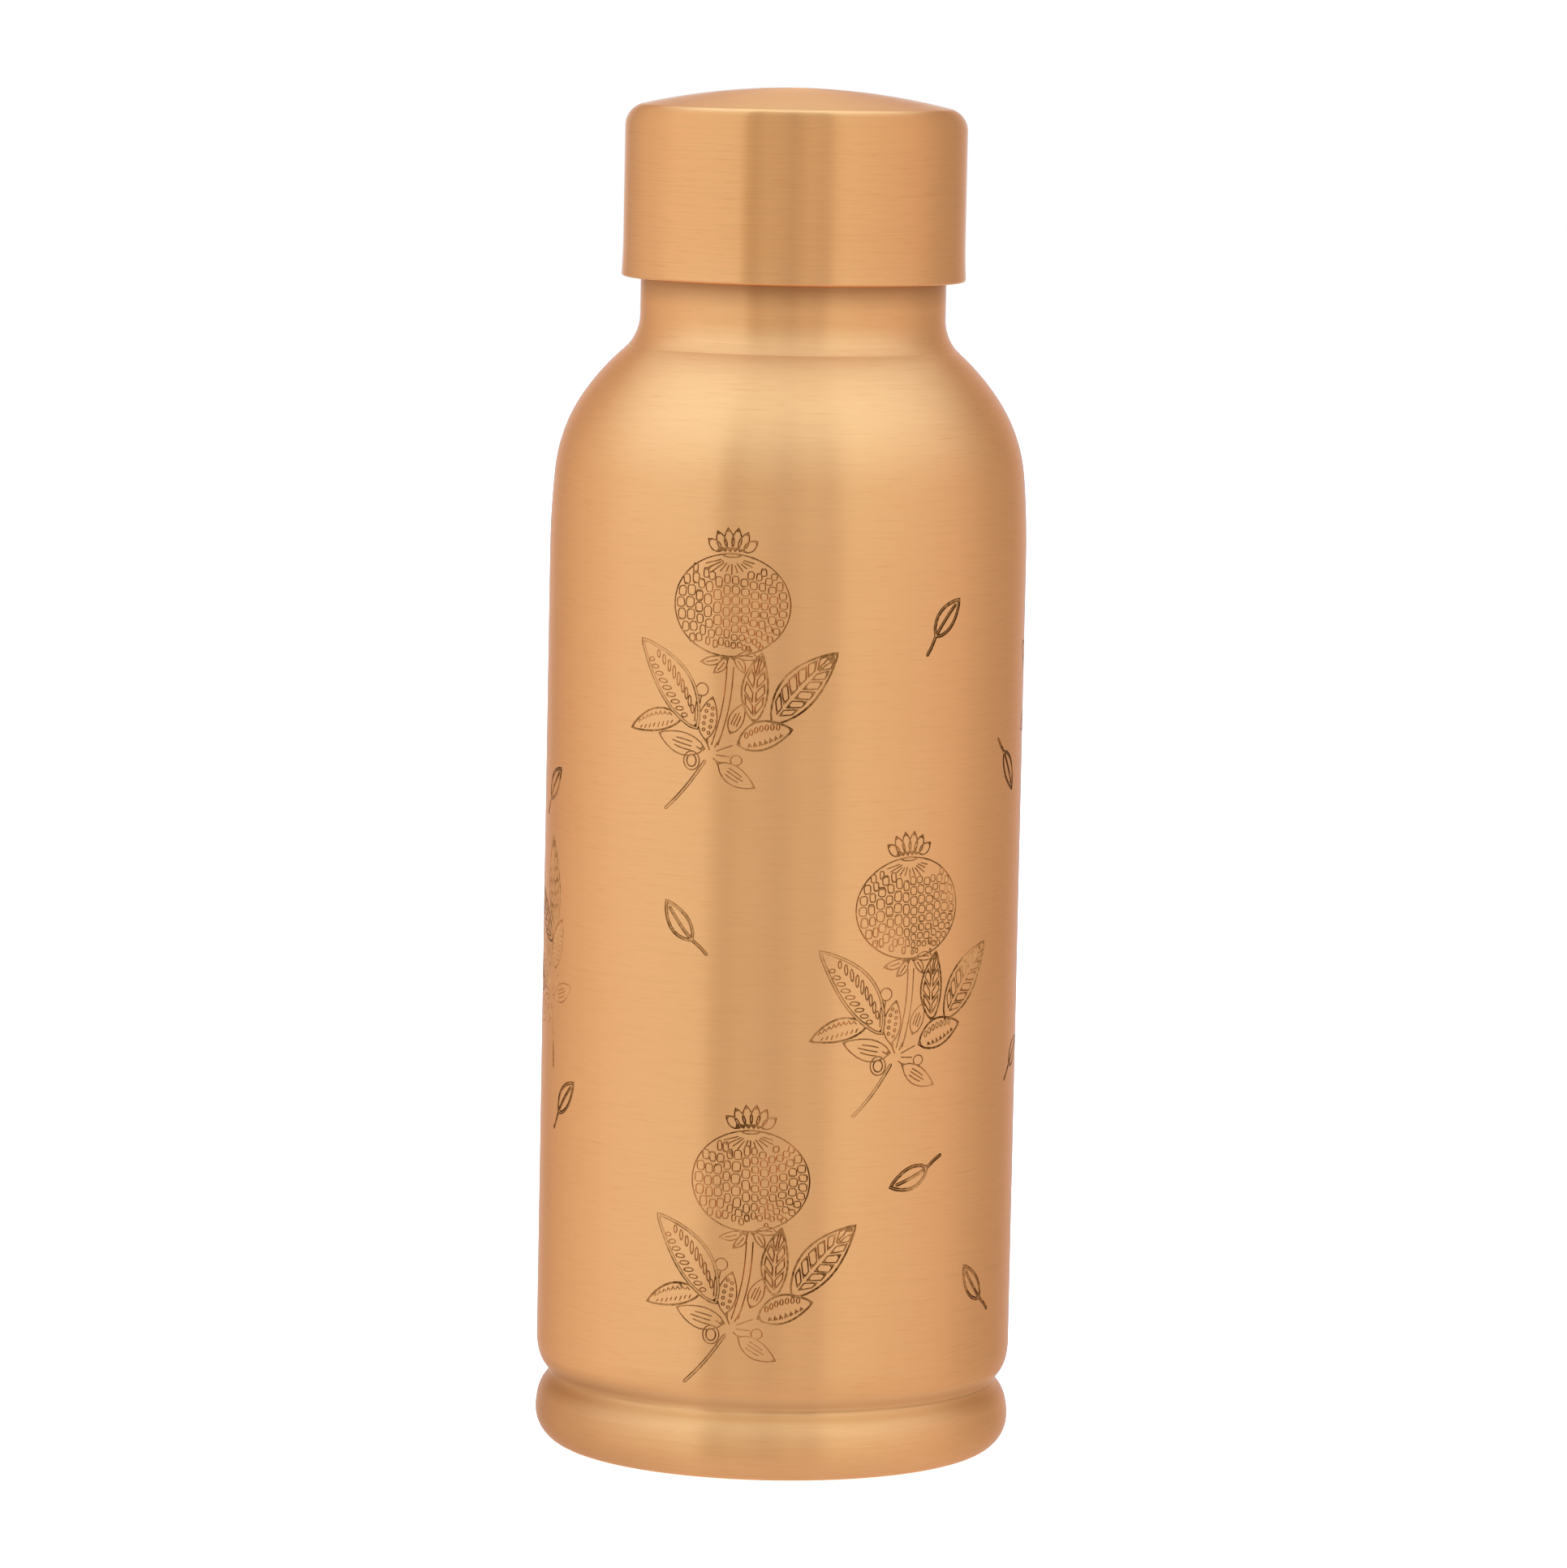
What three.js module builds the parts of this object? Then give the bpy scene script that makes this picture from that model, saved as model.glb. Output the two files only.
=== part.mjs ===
// Copper water bottle with a screw cap. Millimetres, +Z up.
// The origin is on the bottle's axis, in the plane that the standing ring rests on.
import * as THREE from "three";

// Driving dimensions
const WALL = 0.8; // copper sheet of the body and the cap
const BODY_RADIUS = 36;
const STANDING_RING_INNER_RADIUS = 30;
const FOOT_CORNER_RADIUS = 5;
const BASE_LEG_HEIGHT = 5; // the sheet turns back up inside the foot
const GROOVE_HEIGHT = 10.8;
const GROOVE_DEPTH = 2.15;
const GROOVE_SPREAD = 1.85;
const SHOULDER_START_HEIGHT = 136.1;
const NECK_RADIUS = 23;
const NECK_STEP_HEIGHT = 179; // the neck narrows here to carry the thread ring
const SPIGOT_RADIUS = 21.1;
const LIP_HEIGHT = 197.2;

const THREAD_PITCH = 4;
const THREAD_HEIGHT = 0.62; // share of a pitch covered by one tooth at its root
const THREAD_CREST = 0.2; // share of a pitch that is flat at the crest
const THREAD_FADE = 2; // the tooth dies away over this length at each end
const RING_BORE_RADIUS = 21.4;
const RING_ROOT_RADIUS = 22;
const RING_CREST_RADIUS = 23;
const RING_BOTTOM = 181;
const RING_TOP = 195;
const LINER_CREST_RADIUS = 22.4;
const LINER_ROOT_RADIUS = 23.4;
const LINER_OUTER_RADIUS = 24.7;
const LINER_BOTTOM = 179.4;
const LINER_CEILING = 199.4;
const LINER_TOP = 200.6;
const LINER_CHAMFER = 1.6;

const CAP_RADIUS = 25.75;
const CAP_MOUTH_RADIUS = 25.95; // the lower edge flares slightly
const CAP_BOTTOM = 177.6;
const CAP_FLARE_HEIGHT = 6;
const CAP_TOP = 206.2;
const CAP_CORNER_RADIUS = 3.4;
const CAP_DOME_RADIUS = 100;

const GASKET_INNER_RADIUS = 20.5;
const GASKET_OUTER_RADIUS = 22.1;
const GASKET_BOTTOM = 197.3;
const GASKET_TOP = 199.3;

const BASE_DISC_RADIUS = 29.7;
const BASE_DISC_HEIGHT = 2.6;
const BASE_DISC_RIM_HEIGHT = 4.8;
const BASE_DISC_THICKNESS = 0.8;

const SEGMENTS = 48; // around the axis
const THREAD_ROWS_PER_PITCH = 6;

const COPPER = { color: 0xd39c67, roughness: 0.28, metalness: 1 };
const RAW_COPPER = { color: 0xb8794f, roughness: 0.45, metalness: 1 };
const SILICONE = { color: 0xe9e6de, roughness: 0.6, metalness: 0 };

const FULL_TURN = 2 * Math.PI;

// Points of an arc in the (radius, height) plane, by angle from the outward radius.
function arc(centreRadius, centreHeight, radius, fromAngle, toAngle, steps) {
  return Array.from({ length: steps + 1 }, (_, i) => {
    const angle = fromAngle + ((toAngle - fromAngle) * i) / steps;
    return new THREE.Vector2(
      centreRadius + radius * Math.cos(angle),
      centreHeight + radius * Math.sin(angle),
    );
  });
}

// A mesh turned about the vertical axis from a closed (radius, height) profile.
function turned(name, profile, material) {
  const closed = [...profile, profile[0].clone()];
  const mesh = new THREE.Mesh(
    new THREE.LatheGeometry(closed, SEGMENTS),
    new THREE.MeshStandardMaterial(material),
  );
  mesh.name = name;
  mesh.rotation.x = Math.PI / 2;
  return mesh;
}

// Body shell: one sheet from the leg inside the foot, round the foot, up the body,
// over the shoulder and neck to the lip. The inset is the depth below its outer face.
const SHOULDER_ARCS = [
  { radius: 136.5, toAngle: THREE.MathUtils.degToRad(5.2), steps: 2 },
  { radius: 24.3, toAngle: THREE.MathUtils.degToRad(34), steps: 5 },
  { radius: 35.9, toAngle: THREE.MathUtils.degToRad(50), steps: 2 },
];
// The shoulder meets the neck's fillet in a faint crease, so the fillet starts steeper.
const NECK_FILLET_START = THREE.MathUtils.degToRad(40);
const NECK_FILLET_STEPS = 4;
const GROOVE_STEPS = 10;

function footLine(inset) {
  const corner = arc(
    BODY_RADIUS - FOOT_CORNER_RADIUS,
    FOOT_CORNER_RADIUS,
    FOOT_CORNER_RADIUS - inset,
    -Math.PI / 2,
    0,
    4,
  );
  return [
    new THREE.Vector2(STANDING_RING_INNER_RADIUS + inset, BASE_LEG_HEIGHT),
    new THREE.Vector2(STANDING_RING_INNER_RADIUS + inset, inset),
    ...corner,
  ];
}

function grooveLine(inset) {
  const reach = GROOVE_HEIGHT - FOOT_CORNER_RADIUS - 0.6;
  return Array.from({ length: GROOVE_STEPS + 1 }, (_, i) => {
    const share = (2 * i) / GROOVE_STEPS - 1;
    const fromMiddle = reach * share * Math.abs(share);
    const sink = GROOVE_DEPTH / (1 + (fromMiddle / GROOVE_SPREAD) ** 2);
    const atReach = GROOVE_DEPTH / (1 + (reach / GROOVE_SPREAD) ** 2);
    return new THREE.Vector2(
      BODY_RADIUS - inset - sink + atReach,
      GROOVE_HEIGHT + fromMiddle,
    );
  });
}

function shoulderLine(inset) {
  const line = [];
  let radius = BODY_RADIUS;
  let height = SHOULDER_START_HEIGHT;
  let angle = 0;
  for (const part of SHOULDER_ARCS) {
    const centreRadius = radius - part.radius * Math.cos(angle);
    const centreHeight = height - part.radius * Math.sin(angle);
    line.push(
      ...arc(centreRadius, centreHeight, part.radius - inset, angle, part.toAngle, part.steps),
    );
    radius = centreRadius + part.radius * Math.cos(part.toAngle);
    height = centreHeight + part.radius * Math.sin(part.toAngle);
    angle = part.toAngle;
  }
  const filletRadius = (radius - NECK_RADIUS) / (1 - Math.cos(NECK_FILLET_START));
  const filletHeight = height + filletRadius * Math.sin(NECK_FILLET_START);
  line.push(
    ...arc(
      NECK_RADIUS + filletRadius,
      filletHeight,
      filletRadius + inset,
      Math.PI + NECK_FILLET_START,
      Math.PI,
      NECK_FILLET_STEPS,
    ),
  );
  return line;
}

function neckLine(inset) {
  const step = NECK_RADIUS - SPIGOT_RADIUS;
  return [
    new THREE.Vector2(NECK_RADIUS - inset, NECK_STEP_HEIGHT - inset / 2),
    new THREE.Vector2(SPIGOT_RADIUS - inset, NECK_STEP_HEIGHT - inset / 2 + step / 2),
    new THREE.Vector2(SPIGOT_RADIUS - inset, LIP_HEIGHT),
  ];
}

// Drops points that lie on the one before, where two stretches meet.
function withoutRepeats(line) {
  return line.filter((p, i) => i === 0 || p.distanceTo(line[i - 1]) > 1e-6);
}

function wallLine(inset) {
  return withoutRepeats([
    ...footLine(inset),
    ...grooveLine(inset),
    ...shoulderLine(inset),
    ...neckLine(inset),
  ]);
}

function bodyShell() {
  const profile = [...wallLine(0), ...wallLine(WALL).reverse()];
  return turned("body_shell", profile, COPPER);
}

// Base disc: a pan pressed from sheet, its rim turned up inside the foot's leg.
function baseDisc() {
  const inner = BASE_DISC_RADIUS - BASE_DISC_THICKNESS;
  const floorTop = BASE_DISC_HEIGHT + BASE_DISC_THICKNESS;
  const mesh = turned(
    "base_disc",
    [
      new THREE.Vector2(0, BASE_DISC_HEIGHT),
      new THREE.Vector2(inner, BASE_DISC_HEIGHT),
      new THREE.Vector2(BASE_DISC_RADIUS, floorTop),
      new THREE.Vector2(BASE_DISC_RADIUS, BASE_DISC_RIM_HEIGHT),
      new THREE.Vector2(inner, BASE_DISC_RIM_HEIGHT),
      new THREE.Vector2(inner, floorTop),
      new THREE.Vector2(0, floorTop),
    ],
    RAW_COPPER,
  );
  return mesh;
}

// Cap shell: a deep-drawn cup with a domed top, one sheet thick.
function capLine(inset) {
  const cornerCentreRadius = CAP_RADIUS - CAP_CORNER_RADIUS;
  const domeCentreHeight = CAP_TOP - CAP_DOME_RADIUS;
  const lean = Math.asin(cornerCentreRadius / (CAP_DOME_RADIUS - CAP_CORNER_RADIUS));
  const cornerCentreHeight =
    domeCentreHeight + (CAP_DOME_RADIUS - CAP_CORNER_RADIUS) * Math.cos(lean);
  const topAngle = Math.PI / 2 - lean;
  const dome = arc(0, domeCentreHeight, CAP_DOME_RADIUS - inset, topAngle, Math.PI / 2, 3);
  dome[dome.length - 1].x = 0;
  return [
    new THREE.Vector2(CAP_MOUTH_RADIUS - inset, CAP_BOTTOM),
    new THREE.Vector2(CAP_RADIUS - inset, CAP_BOTTOM + CAP_FLARE_HEIGHT),
    ...arc(
      cornerCentreRadius,
      cornerCentreHeight,
      CAP_CORNER_RADIUS - inset,
      0,
      topAngle,
      5,
    ),
    ...dome.slice(1),
  ];
}

function capShell() {
  const profile = [...capLine(0), ...capLine(WALL).reverse()];
  return turned("cap_shell", profile, COPPER);
}

// How far the thread's tooth stands out, from 0 at the root to 1 at the crest.
// The helix is right-handed, and the tooth dies away at both ends of its stretch.
function threadTooth(angle, height, bottom, top) {
  const turns = height / THREAD_PITCH - angle / FULL_TURN;
  const fromMiddle = Math.abs(turns - Math.round(turns));
  const flank = (THREAD_HEIGHT / 2 - fromMiddle) / ((THREAD_HEIGHT - THREAD_CREST) / 2);
  const toEnd = Math.min(height - bottom, top - height) / THREAD_FADE;
  return THREE.MathUtils.clamp(flank, 0, 1) * THREE.MathUtils.clamp(toEnd, 0, 1);
}

// A ring whose section changes round the axis. sectionAt(angle) gives the closed
// (radius, height) outline at that angle, with the same number of points each time.
function ringFromSections(name, sectionAt, material) {
  const sections = Array.from({ length: SEGMENTS }, (_, i) => {
    const angle = (FULL_TURN * i) / SEGMENTS;
    return sectionAt(angle).map(
      (p) => new THREE.Vector3(p.x * Math.cos(angle), p.x * Math.sin(angle), p.y),
    );
  });
  const count = sections[0].length;
  const index = [];
  for (let i = 0; i < SEGMENTS; i++) {
    const next = (i + 1) % SEGMENTS;
    for (let j = 0; j < count; j++) {
      const after = (j + 1) % count;
      const corners = [i * count + j, next * count + j, next * count + after, i * count + after];
      index.push(corners[0], corners[1], corners[2], corners[0], corners[2], corners[3]);
    }
  }
  const geometry = new THREE.BufferGeometry().setFromPoints(sections.flat());
  geometry.setIndex(index);
  geometry.computeVertexNormals();
  const mesh = new THREE.Mesh(geometry, new THREE.MeshStandardMaterial(material));
  mesh.name = name;
  return mesh;
}

// The threaded face's points from bottom to top at one angle.
function threadLine(angle, bottom, top, rootRadius, crestRadius) {
  const rows = Math.round(((top - bottom) / THREAD_PITCH) * THREAD_ROWS_PER_PITCH);
  return Array.from({ length: rows + 1 }, (_, i) => {
    const height = bottom + ((top - bottom) * i) / rows;
    const tooth = threadTooth(angle, height, bottom, top);
    return new THREE.Vector2(rootRadius + (crestRadius - rootRadius) * tooth, height);
  });
}

// Neck thread ring: its tooth points out.
function neckThreadRing() {
  return ringFromSections(
    "neck_thread_ring",
    (angle) => [
      ...threadLine(angle, RING_BOTTOM, RING_TOP, RING_ROOT_RADIUS, RING_CREST_RADIUS),
      new THREE.Vector2(RING_BORE_RADIUS, RING_TOP),
      new THREE.Vector2(RING_BORE_RADIUS, RING_BOTTOM),
    ],
    RAW_COPPER,
  );
}

// Cap thread liner: a threaded cup inside the cap shell. Its tooth points in, half a
// pitch away from the ring's tooth, so that the two threads are in mesh when closed.
function capThreadLiner() {
  return ringFromSections(
    "cap_thread_liner",
    (angle) => [
      new THREE.Vector2(0, LINER_CEILING),
      ...threadLine(
        angle + FULL_TURN / 2,
        LINER_BOTTOM,
        LINER_CEILING,
        LINER_ROOT_RADIUS,
        LINER_CREST_RADIUS,
      ).reverse(),
      new THREE.Vector2(LINER_OUTER_RADIUS, LINER_BOTTOM),
      new THREE.Vector2(LINER_OUTER_RADIUS, LINER_TOP - LINER_CHAMFER),
      new THREE.Vector2(LINER_OUTER_RADIUS - LINER_CHAMFER, LINER_TOP),
      new THREE.Vector2(0, LINER_TOP),
    ],
    RAW_COPPER,
  );
}

// Sealing gasket: a flat ring between the lip and the liner's ceiling.
function sealingGasket() {
  return turned(
    "sealing_gasket",
    [
      new THREE.Vector2(GASKET_INNER_RADIUS, GASKET_BOTTOM),
      new THREE.Vector2(GASKET_OUTER_RADIUS, GASKET_BOTTOM),
      new THREE.Vector2(GASKET_OUTER_RADIUS, GASKET_TOP),
      new THREE.Vector2(GASKET_INNER_RADIUS, GASKET_TOP),
    ],
    SILICONE,
  );
}

const bottle = new THREE.Group();
bottle.add(bodyShell(), baseDisc(), neckThreadRing());

const cap = new THREE.Group();
cap.add(capShell(), capThreadLiner(), sealingGasket());

const root = new THREE.Group();
root.add(bottle, cap);

export default root;
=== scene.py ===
"""A copper water bottle with engraved sprigs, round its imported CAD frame. Metres, +Z up."""
import math
import random

import bpy
import numpy as np
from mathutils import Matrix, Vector
from mathutils.geometry import delaunay_2d_cdt


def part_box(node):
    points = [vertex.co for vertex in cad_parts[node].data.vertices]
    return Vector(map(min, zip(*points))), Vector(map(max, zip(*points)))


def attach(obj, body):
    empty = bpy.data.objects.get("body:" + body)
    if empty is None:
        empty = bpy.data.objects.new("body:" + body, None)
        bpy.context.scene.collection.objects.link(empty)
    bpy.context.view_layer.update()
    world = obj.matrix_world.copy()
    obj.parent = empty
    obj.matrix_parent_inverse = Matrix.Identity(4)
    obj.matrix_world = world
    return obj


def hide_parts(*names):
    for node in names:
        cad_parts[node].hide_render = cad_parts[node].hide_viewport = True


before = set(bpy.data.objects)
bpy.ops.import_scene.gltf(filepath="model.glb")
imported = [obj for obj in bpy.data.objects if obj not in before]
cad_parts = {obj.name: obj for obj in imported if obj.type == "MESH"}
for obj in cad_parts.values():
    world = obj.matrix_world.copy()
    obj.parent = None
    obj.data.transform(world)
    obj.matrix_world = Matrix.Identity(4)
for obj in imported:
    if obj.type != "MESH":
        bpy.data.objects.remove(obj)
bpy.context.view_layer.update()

MM = 0.001

# -------- sizes, from the frame
body_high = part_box("body_shell")[1]
cap_low, cap_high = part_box("cap_shell")
ring_low, ring_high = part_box("neck_thread_ring")
liner_low, liner_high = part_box("cap_thread_liner")
gasket_low, gasket_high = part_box("sealing_gasket")
disc_low, disc_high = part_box("base_disc")

BODY_RADIUS = body_high.x
LIP_HEIGHT = body_high.z
CAP_MOUTH_RADIUS = cap_high.x
CAP_BOTTOM = cap_low.z
CAP_TOP = cap_high.z

# What the boxes don't hold: the sheet, the outline's curves and the thread.
WALL = 0.8 * MM
FOOT_CORNER_RADIUS = 5 * MM
STANDING_RING_INNER_RADIUS = 30 * MM
BASE_LEG_HEIGHT = 5 * MM
GROOVE_HEIGHT = 10.8 * MM
GROOVE_END = 17 * MM
GROOVE_DEPTH = 2.15 * MM
GROOVE_SPREAD = 1.85 * MM
STRAIGHT_ABOVE_FOOT = 0.6 * MM  # between the foot's corner and the groove
SHOULDER_START = 136.1 * MM
SHOULDER_ARCS = ((136.5 * MM, 5.2), (24.3 * MM, 34), (35.9 * MM, 50))  # radius, end angle
NECK_FILLET_START = 40  # degrees; the shoulder meets the fillet in a faint crease
NECK_RADIUS = 23 * MM
NECK_STEP_HEIGHT = 179 * MM
SPIGOT_RADIUS = 21.1 * MM
CAP_RADIUS = 25.75 * MM
CAP_FLARE_HEIGHT = 6 * MM
CAP_CORNER_RADIUS = 3.4 * MM
CAP_DOME_RADIUS = 100 * MM
CAP_CORNER_SHADING = 6  # a power: how late round the corner its shading turns up
THREAD_PITCH = 4 * MM
THREAD_BASE_SHARE = 0.62
THREAD_CREST_SHARE = 0.2
THREAD_FADE = 2 * MM
THREAD_DEPTH = 1 * MM
ROWS_PER_PITCH = 14

COLUMNS = 120  # round the axis, on every turned piece
SLOPE_STEP = 0.01 * MM  # for slopes taken as a difference
TURN_STEP = 1e-3
WELD_GRID = 1e-5 * MM  # points that round to one place on it are one point
ENGRAVED_LOW = 13.4 * MM
ENGRAVED_HIGH = 143.2 * MM
SEAM_ANGLE = 194  # degrees from the front, where the unrolled drawing is cut
UV_ENGRAVED = (0.07, 0.67)  # share of the bake's height for the engraved face
UV_OUTSIDE_TOP = 0.86  # the neck and shoulder end here, and the inside follows
round_shares = np.arange(COLUMNS + 1) / COLUMNS
round_angles = np.radians(SEAM_ANGLE - 360 + 360 * round_shares)


# -------- outlines
# An outline is a list of (radius, height, normal angle), the angle in radians from
# straight out, so a corner is two points in one place with different angles.
def arc(centre_radius, centre_height, radius, start, end, steps, outward=True):
    """A round stretch; its normal points away from its centre, or to it."""
    points = []
    for i in range(steps + 1):
        angle = start + (end - start) * i / steps
        points.append((
            centre_radius + radius * math.cos(angle),
            centre_height + radius * math.sin(angle),
            angle if outward else angle + math.pi,
        ))
    return points


def straight(start, end, steps=1):
    """A straight stretch; its normal is on the right of the way it runs."""
    run, rise = end[0] - start[0], end[1] - start[1]
    angle = math.atan2(-run, rise)
    return [
        (start[0] + run * i / steps, start[1] + rise * i / steps, angle)
        for i in range(steps + 1)
    ]


def foot_line(inset):
    """From the inside of the standing ring, under it and round the corner."""
    leg = STANDING_RING_INNER_RADIUS + inset
    corner = BODY_RADIUS - FOOT_CORNER_RADIUS
    return [
        *straight((leg, BASE_LEG_HEIGHT), (leg, inset)),
        *straight((leg, inset), (corner, inset)),
        *arc(corner, FOOT_CORNER_RADIUS, FOOT_CORNER_RADIUS - inset, -math.pi / 2, 0, 12),
    ]


def groove_sink(from_middle):
    """How far the groove goes in, by the height from its middle: a bell with its ends cut."""
    reach = GROOVE_HEIGHT - FOOT_CORNER_RADIUS - STRAIGHT_ABOVE_FOOT
    at_reach = GROOVE_DEPTH / (1 + (reach / GROOVE_SPREAD) ** 2)
    return max(0, GROOVE_DEPTH / (1 + (from_middle / GROOVE_SPREAD) ** 2) - at_reach)


def groove_line(inset, low, high, steps):
    """The straight side, with the groove where the heights take it in."""
    points = []
    for i in range(steps + 1):
        height = low + (high - low) * i / steps
        below = groove_sink(height - SLOPE_STEP - GROOVE_HEIGHT)
        above = groove_sink(height + SLOPE_STEP - GROOVE_HEIGHT)
        angle = math.atan2(above - below, 2 * SLOPE_STEP)
        points.append((BODY_RADIUS - inset - groove_sink(height - GROOVE_HEIGHT), height, angle))
    return points


def shoulder_line(inset, steps_per_arc):
    """The shoulder's arcs, each going on from the last, and the fillet up to the neck."""
    points = []
    radius, height, angle = BODY_RADIUS, SHOULDER_START, 0
    for arc_radius, end_degrees in SHOULDER_ARCS:
        end = math.radians(end_degrees)
        centre_radius = radius - arc_radius * math.cos(angle)
        centre_height = height - arc_radius * math.sin(angle)
        points += arc(centre_radius, centre_height, arc_radius - inset, angle, end, steps_per_arc)
        radius = centre_radius + arc_radius * math.cos(end)
        height = centre_height + arc_radius * math.sin(end)
        angle = end
    start = math.radians(NECK_FILLET_START)
    fillet = (radius - NECK_RADIUS) / (1 - math.cos(start))
    centre = (NECK_RADIUS + fillet, height + fillet * math.sin(start))
    points += arc(*centre, fillet + inset, math.pi + start, math.pi, steps_per_arc, outward=False)
    return points


def neck_line(inset):
    """The neck, the step that the cap covers, and the spigot up to the lip."""
    neck, spigot = NECK_RADIUS - inset, SPIGOT_RADIUS - inset
    step_low = NECK_STEP_HEIGHT - inset / 2
    step_high = step_low + (NECK_RADIUS - SPIGOT_RADIUS) / 2
    top_of_fillet = shoulder_line(inset, 1)[-1][1]
    return [
        *straight((neck, top_of_fillet), (neck, step_low), 2),
        *straight((neck, step_low), (spigot, step_high)),
        *straight((spigot, step_high), (spigot, LIP_HEIGHT)),
    ]


def backwards(line):
    """The same line the other way round, facing the other way."""
    return [(r, z, angle + math.pi) for r, z, angle in reversed(line)]


# The outer face as one dense curve from the foot to the fillet, to look heights up in.
smooth_face = np.array(
    groove_line(0, FOOT_CORNER_RADIUS, SHOULDER_START, 4000) + shoulder_line(0, 400)
)


def face_radius(height):
    return np.interp(height, smooth_face[:, 1], smooth_face[:, 0])


def face_angle(height):
    return np.interp(height, smooth_face[:, 1], smooth_face[:, 2])


# -------- meshes from blocks
# A block is points, their normals and uvs, faces of one size, and for each face whether
# it is flat (its own normal), how dark it is engraved, and its material.
PER_FACE = ("flat", "etch", "material")


def block(points, normals, uvs, faces, flat=None, etch=None, material=0):
    count = len(faces)
    return {
        "points": np.asarray(points, float),
        "normals": np.asarray(normals, float),
        "uvs": np.asarray(uvs, float),
        "faces": np.asarray(faces, int),
        "flat": np.zeros(count, bool) if flat is None else flat,
        "etch": np.zeros(count) if etch is None else etch,
        "material": np.full(count, material),
    }


def grid_faces(rows, columns):
    """Quads of a grid with columns + 1 points in a row, its rows running up."""
    row, column = np.meshgrid(np.arange(rows - 1), np.arange(columns), indexing="ij")
    first = (row * (columns + 1) + column).ravel()
    return np.stack([first, first + 1, first + columns + 2, first + columns + 1], 1)


def round_axis(out, up, turn):
    """Points or directions, by how far they are out, up and round."""
    out, up, turn = np.broadcast_arrays(out, up, turn)
    return np.stack([out * np.sin(turn), -out * np.cos(turn), up], -1).reshape(-1, 3)


def turned_block(line, v_low=0.0, v_high=1.0, material=0):
    """The face that a line sweeps round the axis. The line runs so that out is on its right."""
    line = np.array(line)
    radius, height, angle = line[:, 0:1], line[:, 1:2], line[:, 2:3]
    points = round_axis(radius, height, round_angles)
    normals = round_axis(np.cos(angle), np.sin(angle), round_angles)
    steps = np.hypot(np.diff(line[:, 0]), np.diff(line[:, 1]))
    along = np.concatenate([[0], np.cumsum(steps)]) / max(steps.sum(), 1e-9)
    v = v_low + (v_high - v_low) * along
    uvs = np.stack(np.meshgrid(v, round_shares, indexing="ij")[::-1], -1)
    faces = grid_faces(len(line), COLUMNS)
    return block(points, normals, uvs.reshape(-1, 2), faces, material=material)


def mesh_object(name, blocks, materials):
    """Joins the blocks into one closed mesh with their own normals."""
    points, normals, uvs = (
        np.concatenate([b[key] for b in blocks]) for key in ("points", "normals", "uvs")
    )
    on_grid = np.round(points / WELD_GRID).astype(np.int64)
    _, kept, welded = np.unique(on_grid, axis=0, return_index=True, return_inverse=True)
    welded = welded.ravel()
    # A face whose corners weld loses them: a quad at the axis becomes a triangle.
    start, corners, face_data = 0, [], []
    for b in blocks:
        faces = b["faces"] + start
        start += len(b["points"])
        ids = welded[faces]
        same = ids == np.roll(ids, -1, axis=1)
        whole = ~same.any(1)
        corners += faces[whole].tolist()
        face_data += zip(*(b[key][whole] for key in PER_FACE))
        part = [b[key][~whole] for key in PER_FACE]
        for face, drop, *data in zip(faces[~whole], same[~whole], *part):
            if len(face) - drop.sum() >= 3:
                corners.append(face[~drop].tolist())
                face_data.append(tuple(data))
    flat_corners = np.array([c for face in corners for c in face])
    sizes = np.array([len(face) for face in corners])
    mesh = bpy.data.meshes.new(name)
    ids = welded[flat_corners].tolist()
    ends = np.cumsum(sizes)
    mesh.from_pydata(
        points[kept].tolist(), [], [ids[end - size:end] for end, size in zip(ends, sizes)]
    )
    corner_normals = normals[flat_corners]
    own = np.zeros(len(corners) * 3, np.float32)
    mesh.polygons.foreach_get("normal", own)
    is_flat, etch, slots = (np.array(values) for values in zip(*face_data))
    flat_at_corner = np.repeat(is_flat, sizes)
    corner_normals[flat_at_corner] = np.repeat(own.reshape(-1, 3), sizes, axis=0)[flat_at_corner]
    layer = mesh.uv_layers.new(name="OFBake")
    layer.data.foreach_set("uv", uvs[flat_corners].ravel().astype(np.float32))
    attribute = mesh.attributes.new("etch", "FLOAT", "FACE")
    attribute.data.foreach_set("value", etch.astype(np.float32))
    mesh.polygons.foreach_set("material_index", slots.astype(np.int32))
    mesh.polygons.foreach_set("use_smooth", np.ones(len(corners), bool))
    for material in materials:
        mesh.materials.append(material)
    mesh.update()
    mesh.normals_split_custom_set(corner_normals.tolist())
    made = bpy.data.objects.new(name, mesh)
    bpy.context.scene.collection.objects.link(made)
    return made


# -------- the engraved drawing
# Drawn in millimetres on the unrolled face: x runs round to the right, y runs up.
# A stroke is (points, closed, width, wall, tone): a cut of that width whose sides slope
# down over the wall's width, so a wall of half the width makes a V, and how dark it is.
ETCH_DEPTH = 0.09
THIN = (0.20, 0.10, 0.7)
DARK = (0.22, 0.11, 0.9)
RIM = (0.32, 0.16, 1.0)
CHANNEL = (0.54, 0.14, 1.0)
BOLD = (0.58, 0.25, 1.35)
STROKE_STEP = 0.85  # the furthest that a stroke runs straight
LOOP_SIDES = 8
THINNEST_FLOOR = 0.02  # half of it; a cut with less is a V
CLEAR_OF_STROKES = 0.4  # how far the plain face's own points keep from them
TRIANGULATION_WELD = 0.004
FLOOR_TONE = 0.2  # of the walls'
hand = random.Random(11)


def path(points, closed=False, cut=THIN):
    return (np.array(points, float), closed, *cut)


def wobble(amount):
    return hand.uniform(-amount, amount)


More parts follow.
